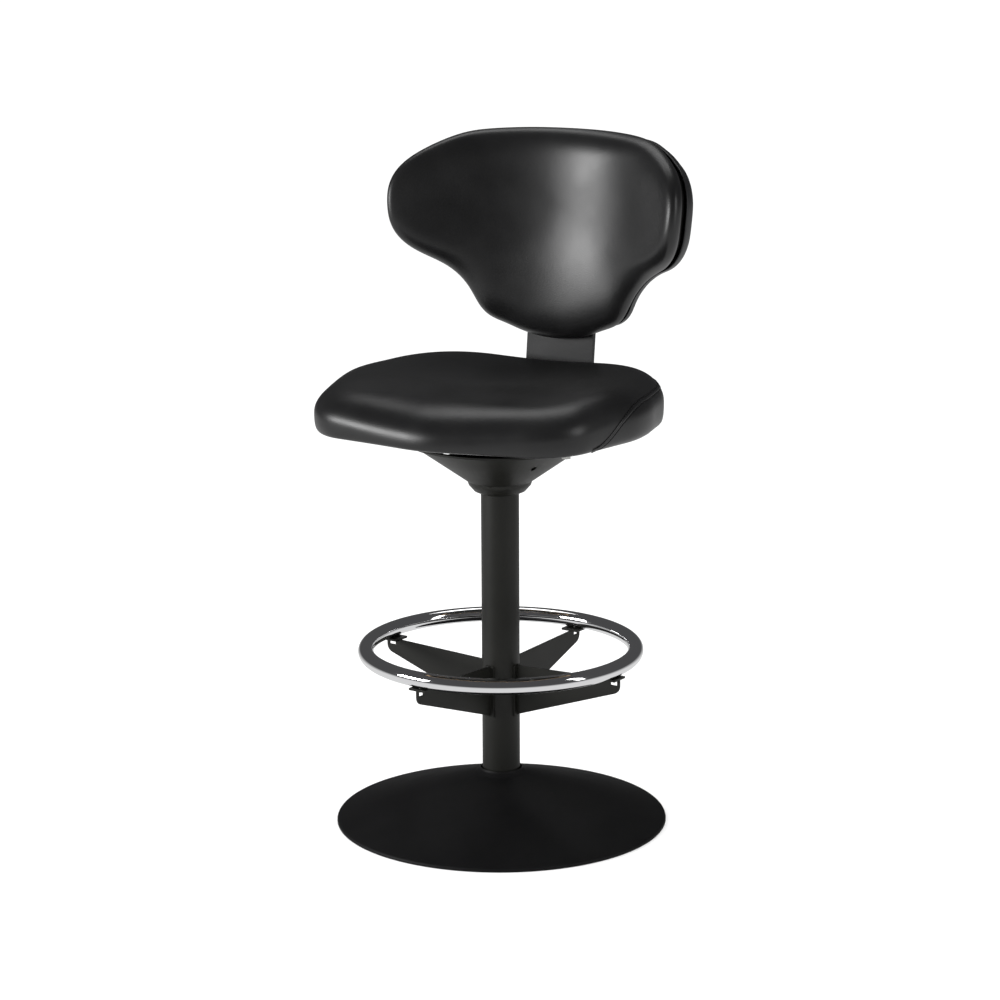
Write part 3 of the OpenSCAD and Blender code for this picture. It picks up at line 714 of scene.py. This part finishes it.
smoother.levels = smoother.render_levels = 1

# %% [markdown]
# ### The seat's seam
# The top panel runs over the front in one piece. A side panel starts at the bottom edge
# near each front corner, sweeps up to the top of the side and carries on round the rear.
# The two are joined by a felled seam: a low ridge, with a row of stitches down each side.
# The thread pulls each row into a thin groove, and the groove's shade is painted as a dark strip of
# its own.
# The path is found on the finished cover, so the ridge and thread lie on its real surface.

# %% Seam path
seam_start, seam_level, seam_low = -26.0, 0.745, 0.985
seam_samples = 600
bpy.context.view_layer.update()
seat_tree = BVHTree.FromObject(seat, bpy.context.evaluated_depsgraph_get())


def seam_place(degrees):
    """A point of the seam on the cover and the cover's normal there."""
    side = degrees if degrees <= 90 else 180 - degrees
    low = (1 - ramp(side, seam_start - 1, 8.0)) ** 1.5
    share = seam_level + (seam_low - seam_level) * low
    wanted = seat_point(share, math.radians(degrees))
    spot, normal, _, _ = seat_tree.find_nearest(wanted)
    return spot, normal


rough = [seam_place(seam_start + (180 - 2 * seam_start) * i / seam_samples)
         for i in range(seam_samples + 1)]
run = np.concatenate([[0], np.cumsum([(b[0] - a[0]).length for a, b in zip(rough, rough[1:])])])
print("seam is", round(float(run[-1]) * 1000), "mm long")


def along(distance):
    """Point, forward direction and normal of the seam at a distance from its start."""
    i = min(int(np.searchsorted(run, distance, side="right")) - 1, len(rough) - 2)
    part = (distance - run[i]) / max(run[i + 1] - run[i], 1e-9)
    spot = rough[i][0].lerp(rough[i + 1][0], part)
    normal = rough[i][1].lerp(rough[i + 1][1], part).normalized()
    back, ahead = max(0, i - 3), min(len(rough) - 1, i + 4)
    forward = (rough[ahead][0] - rough[back][0]).normalized()
    return spot, forward, normal


# %% Seam ridge and the painted shade in its grooves
row_offset = 0.0030
strip_steps = 300


def strip(name, lanes, finish):
    """Strips laid along the seam on the cover, one for each given cross-section."""
    bm = bmesh.new()
    for section in lanes:
        rails = []
        for i in range(strip_steps + 1):
            spot, forward, normal = along(float(run[-1]) * i / strip_steps)
            across = normal.cross(forward).normalized()
            verts = [bm.verts.new(spot + across * a + normal * h) for a, h in section]
            rails.append([bm.edges.new(pair) for pair in zip(verts, verts[1:])])
        for first, second in zip(rails, rails[1:]):
            bmesh.ops.bridge_loops(bm, edges=first + second)
    piece(name, bm, finish, "seat", ())


strip("seat_seam_ridge", [[(-0.0024, -0.0002), (-0.0017, 0.0005), (0, 0.00085),
                           (0.0017, 0.0005), (0.0024, -0.0002)]], leather)
# Two near-black strips laid just on the cover, one for each stitch row: painted shade for the
# grooves.
groove_shade = [[(side * row_offset - 0.0008, 0.0001), (side * row_offset, 0.00022),
           (side * row_offset + 0.0008, 0.0001)] for side in (-1, 1)]
strip("seat_seam_groove_shade", groove_shade, seam_shadow)

# %% Stitches
stitch_pitch, stitch_half, stitch_thick, stitch_lift = 0.0040, 0.0015, 0.00045, 0.00030
stitch_count = int(float(run[-1]) / stitch_pitch)
one = bmesh.new()
bmesh.ops.create_uvsphere(one, u_segments=6, v_segments=5, radius=1)
one_stitch = bpy.data.meshes.new("one_stitch")
one.to_mesh(one_stitch)
one.free()
stitch_bm = bmesh.new()
for side in (-1, 1):
    for number in range(stitch_count):
        spot, forward, normal = along((number + 0.5) * stitch_pitch)
        across = normal.cross(forward).normalized()
        at = spot + across * side * row_offset + normal * stitch_lift
        turn = Matrix((forward, across, normal)).transposed().to_4x4()
        size = Matrix.Diagonal((stitch_half, stitch_thick, stitch_thick, 1))
        placed = one_stitch.copy()
        placed.transform(Matrix.Translation(at) @ turn @ size)
        stitch_bm.from_mesh(placed)
        bpy.data.meshes.remove(placed)
bpy.data.meshes.remove(one_stitch)
piece("seat_stitches", stitch_bm, thread, "seat", ())

# %% [markdown]
# ## The back cushion
# The back is a ply shell bent to a round, about 300 mm in radius, with foam and leather in
# front of it and a plastic shell behind. Seen flat, its outline is a wide pair of wings
# over a narrow lower lobe. The outline is drawn first, from arcs that run into each other,
# and then wrapped round the bend.

# %% Back outline
bend_r = 0.299
back_w, back_h, lobe_w = 0.438, 0.268, 0.230
back_y, back_z, lean = 0.184, 0.649, math.radians(7.2)


def direction(start, end):
    """The angle from one point to another, in degrees."""
    return math.degrees(math.atan2(end[1] - start[1], end[0] - start[0]))


def shared_tangent(c1, r1, c2, r2):
    """The angle at which two circles share a tangent on their outer side."""
    apart = math.dist(c1, c2)
    return direction(c1, c2) - math.degrees(math.acos((r1 - r2) / apart))


def nestled(c1, r1, c2, r2, r):
    """The middle of a circle that touches two others from outside, on their right."""
    apart = math.dist(c1, c2)
    ex, ey = (c2[0] - c1[0]) / apart, (c2[1] - c1[1]) / apart
    p, q = r + r1, r + r2
    far = (p * p - q * q + apart * apart) / (2 * apart)
    off = math.sqrt(p * p - far * far)
    return (c1[0] + far * ex + off * ey, c1[1] + far * ey - off * ex)


edge_r, wing_r, tip_r, brow_r, waist_r, crown = 0.038, 0.060, 0.070, 0.080, 0.100, 0.008
edge_c = (lobe_w / 2 - edge_r, edge_r)
wing_c = (back_w / 2 - 0.002 - wing_r, back_h * 0.526)
tip_c = (back_w / 2 - tip_r, back_h * 0.628)
brow_c = (back_w / 2 - 0.027 - brow_r, back_h - crown - brow_r)
top_r = brow_r + (brow_c[0] ** 2 + crown ** 2) / (2 * crown)
top_c = (0.0, back_h - top_r)
waist_c = nestled(edge_c, edge_r, wing_c, wing_r, waist_r)
low_a, high_a = direction(edge_c, waist_c), direction(waist_c, wing_c)
side_a = shared_tangent(wing_c, wing_r, tip_c, tip_r)
brow_a = shared_tangent(tip_c, tip_r, brow_c, brow_r)
top_a = direction(top_c, brow_c)
half_line = (arc(edge_c, edge_r, -90, low_a, 14) + arc(waist_c, waist_r, low_a + 180, high_a, 14)
             + arc(wing_c, wing_r, high_a - 180, side_a, 14) + arc(tip_c, tip_r, side_a, brow_a, 14)
             + arc(brow_c, brow_r, brow_a, top_a, 14) + arc(top_c, top_r, top_a, 90, 14))
flat_line = [(bend_r * math.asin(x / bend_r), v) for x, v in half_line]
outline = np.array(flat_line + [(-u, v) for u, v in reversed(flat_line)])
back_middle = (0.0, 0.150)
seen_at = np.unwrap(np.arctan2(outline[:, 1] - back_middle[1], outline[:, 0] - back_middle[0]))
seen_far = np.hypot(outline[:, 0] - back_middle[0], outline[:, 1] - back_middle[1])


def back_radius(angle):
    """From the back's middle to its outline in one direction, on the flat."""
    low = seen_at[0]
    turned = (angle - low) % (2 * math.pi) + low
    return float(np.interp(turned, seen_at, seen_far))


print("back outline:", len(outline), "points, wing to wing on the flat",
      round(outline[:, 0].max() * 2000, 1), "mm")

# %% [markdown]
# The front of the cushion is not a plain bend. It swells at the small of the back, is a
# touch hollow above that, and rolls over at its edge in a fat round. A point is given by
# its place on the flat outline and its depth in front of the bend. One function wraps it
# round and leans it back with the bar.

# %% Wrapping the back
lean_turn = Matrix.Rotation(-lean, 4, "X")
back_frame = Matrix.Translation((0, back_y, back_z)) @ lean_turn
radial = 0.05


def wrapped(u, v, depth):
    """Flat place (u, v) and a depth in front of the board's rear face, as a point."""
    a = u / bend_r
    b = a * radial
    reach = depth / max(0.3, math.cos(a - b))
    x = bend_r * math.sin(a) - reach * math.sin(b)
    y = -bend_r + bend_r * math.cos(a) - reach * math.cos(b)
    return back_frame @ Vector((x, y, v))


cushion_rear = 0.0096
cushion_front = 0.0385
back_roll = 0.048
back_flat_share = 0.50
back_side_share = 0.92
widest_depth = 0.0125
rear_tuck = 0.003


def back_front(u, v):
    """Depth of the cushion's front face."""
    lumbar = hill(v, 0.085, 0.065) * hill(u, 0, 0.16)
    hollow = hill(v, 0.205, 0.060) * hill(u, 0, 0.20)
    return cushion_front + 0.0045 * lumbar - 0.0040 * hollow


def back_point(share, angle):
    """A point of the back cover: share 0 is its middle, and 1 the rear edge."""
    edge = back_radius(angle)
    if share <= back_flat_share:
        out, drop = (edge - back_roll) * share / back_flat_share, 0.0
    elif share <= back_side_share:
        turn = (share - back_flat_share) / (back_side_share - back_flat_share) * math.pi / 2
        out = edge - back_roll * (1 - math.sin(turn))
        drop = (1 - math.cos(turn)) ** 1.15
    else:
        down = (share - back_side_share) / (1 - back_side_share)
        out, drop = edge - rear_tuck * (1 - math.sqrt(max(0.0, 1 - down ** 2))), 1 + down
    u = back_middle[0] + out * math.cos(angle)
    v = back_middle[1] + out * math.sin(angle)
    front = back_front(u, v)
    if drop <= 1:
        depth = front * (1 - drop) + widest_depth * drop
    else:
        depth = widest_depth - (widest_depth - cushion_rear) * (drop - 1)
    return u, v, depth


print("back middle", [round(c, 4) for c in wrapped(*back_point(0, 0))])

# %% [markdown]
# ### Making the back's cover
# The front is a grid wrapped to shape, as on the seat. A few rounds of smoothing then relax
# it, as tight leather bridges small hollows. A second grid closes the rear, and the two rims
# are bridged.

# %% Back cushion
relax_rounds = 14
rear_inset = 0.012
back_bm = bmesh.new()
bmesh.ops.create_grid(back_bm, x_segments=cover_grid, y_segments=cover_grid, size=1)
for vert in back_bm.verts:
    share, angle = disc(vert.co.x, vert.co.y)
    vert.co = wrapped(*back_point(min(1.0, share), angle))
for _ in range(relax_rounds):
    inner = [v for v in back_bm.verts if not v.is_boundary]
    bmesh.ops.smooth_vert(back_bm, verts=inner, factor=0.5, use_axis_x=True,
                          use_axis_y=True, use_axis_z=True)
rear_half = bmesh.ops.create_grid(back_bm, x_segments=cover_grid, y_segments=cover_grid,
                                  size=1)["verts"]
for vert in rear_half:
    share, angle = disc(vert.co.x, vert.co.y)
    out = (back_radius(angle) - rear_inset) * min(1.0, share)
    vert.co = wrapped(back_middle[0] + out * math.cos(angle),
                      back_middle[1] + out * math.sin(angle), cushion_rear)
rims = [e for e in back_bm.edges if e.is_boundary]
bmesh.ops.bridge_loops(back_bm, edges=rims)
back = piece("back_leather", back_bm, leather, "seat", ["back_cushion"])
smoother = back.modifiers.new("smoother", "SUBSURF")
smoother.levels = smoother.render_levels = 1

# %% [markdown]
# ## The rear shell
# A moulded shell closes the back and hides the bar's end. It is a shallow tray that follows
# the same outline a little behind the cushion, which leaves a thin dark joint all round.

# %% Rear shell
shell_edge = 0.0075
shell_round = 0.010
shell_back_depth = -0.0165
shell_near = 0.0003
shell_flat_share, shell_round_share = 0.78, 0.94
shell_round_sink = 0.55
shell_grid = 64


def shell_point(share, angle):
    """A point of the shell's outer face: 0 is its middle, and 1 the edge at the joint."""
    edge = back_radius(angle) - shell_edge
    if share <= shell_flat_share:
        out, sink = (edge - shell_round) * share / shell_flat_share, 0.0
    elif share <= shell_round_share:
        turn = (share - shell_flat_share) / (shell_round_share - shell_flat_share) * math.pi / 2
        out = edge - shell_round * (1 - math.sin(turn))
        sink = shell_round_sink * (1 - math.cos(turn))
    else:
        rest = (share - shell_round_share) / (1 - shell_round_share)
        out, sink = edge, shell_round_sink + (1 - shell_round_sink) * rest
    u = back_middle[0] + out * math.cos(angle)
    v = back_middle[1] + out * math.sin(angle)
    return u, v, shell_back_depth * (1 - sink) - shell_near * sink


shell_bm = bmesh.new()
bmesh.ops.create_grid(shell_bm, x_segments=shell_grid, y_segments=shell_grid, size=1)
for vert in shell_bm.verts:
    share, angle = disc(vert.co.x, vert.co.y)
    vert.co = wrapped(*shell_point(min(1.0, share), angle))
shell = piece("rear_shell_skin", shell_bm, shell_skin, "seat", ["back_shell"])
wall = shell.modifiers.new("wall", "SOLIDIFY")
wall.thickness = 0.0025
wall.offset = -1
smoother = shell.modifiers.new("smoother", "SUBSURF")
smoother.levels = smoother.render_levels = 1
